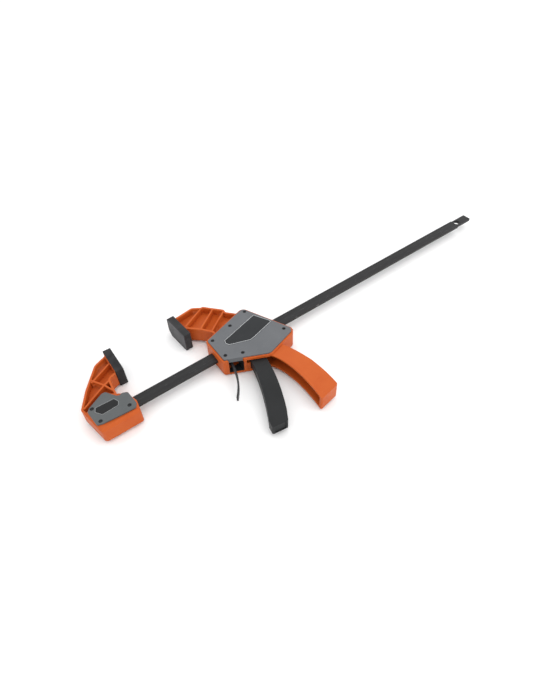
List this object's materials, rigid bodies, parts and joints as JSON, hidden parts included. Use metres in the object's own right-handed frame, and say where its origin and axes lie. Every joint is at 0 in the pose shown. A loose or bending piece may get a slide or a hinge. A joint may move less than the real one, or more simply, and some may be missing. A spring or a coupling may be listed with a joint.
{
  "type": "quick release bar clamp",
  "caption": "One-handed quick release bar clamp: fixed jaw on a flat steel bar, sliding carriage with ribbed jaw, pistol grip, trigger, release lever and facing pads.",
  "frame": {"origin": "centre of the fixed pad's clamping face, on the bar's mid-plane", "axes": "+X along the bar from the fixed jaw towards the bar's free end, +Y from the bar towards the jaw tips, +Z out of the front cover; the clamp lies on its back cover"},
  "size_m": [0.8511, 0.293, 0.0371],
  "materials": {
    "bar_steel": "satin",
    "orange_plastic": "satin",
    "grey_plastic": "matte",
    "badge_black": "satin",
    "black_plastic": "matte",
    "pad_rubber": "matte",
    "screw_steel": "satin",
    "lever_steel": "satin",
    "bright_steel": "satin"
  },
  "bodies": {
    "bar_body": {"bar": "bar_steel", "fixed_jaw": "orange_plastic", "jaw_pin": "bright_steel", "jaw_front_plate": "grey_plastic", "jaw_back_plate": "grey_plastic", "jaw_front_badge": "badge_black", "jaw_back_badge": "badge_black", "jaw_screws": "screw_steel", "fixed_pad": "pad_rubber"},
    "carriage": {"housing": "orange_plastic", "front_cover": "grey_plastic", "back_cover": "grey_plastic", "front_badge": "badge_black", "back_badge": "badge_black", "cover_screws": "screw_steel", "sliding_pad": "pad_rubber", "trigger_pin": "bright_steel", "drive_spring": "bright_steel", "brake_spring": "bright_steel"},
    "trigger_body": {"trigger": "black_plastic"},
    "drive_plates": {"drive_plate_front": "bright_steel", "drive_plate_rear": "bright_steel"},
    "brake": {"brake_lever": "lever_steel"}
  },
  "joints": [
    {"name": "carriage_slide", "type": "slide", "parent": "bar_body", "child": "carriage", "axis": [1, 0, 0], "range_m": [-0.106, 0.49]},
    {"name": "trigger_squeeze", "type": "hinge", "parent": "carriage", "child": "trigger_body", "pos_m": [0.1848, -0.0549, 0], "axis": [0, 0, 1], "range_deg": [0, 16], "stiffness_Nm_per_rad": 3, "springref_deg": -5.73},
    {"name": "drive_advance", "type": "slide", "parent": "carriage", "child": "drive_plates", "axis": [1, 0, 0], "range_m": [0, 0.0037], "deforming": ["drive_spring"]},
    {"name": "brake_release", "type": "hinge", "parent": "carriage", "child": "brake", "pos_m": [0.1519, -0.0658, 0], "axis": [0, 0, 1], "range_deg": [0, 7], "stiffness_Nm_per_rad": 1, "springref_deg": -5.73, "deforming": ["brake_spring"]}
  ],
  "couplings": [
    {"joint": "drive_advance", "follows": "trigger_squeeze", "m_per_rad": 0.0129}
  ]
}
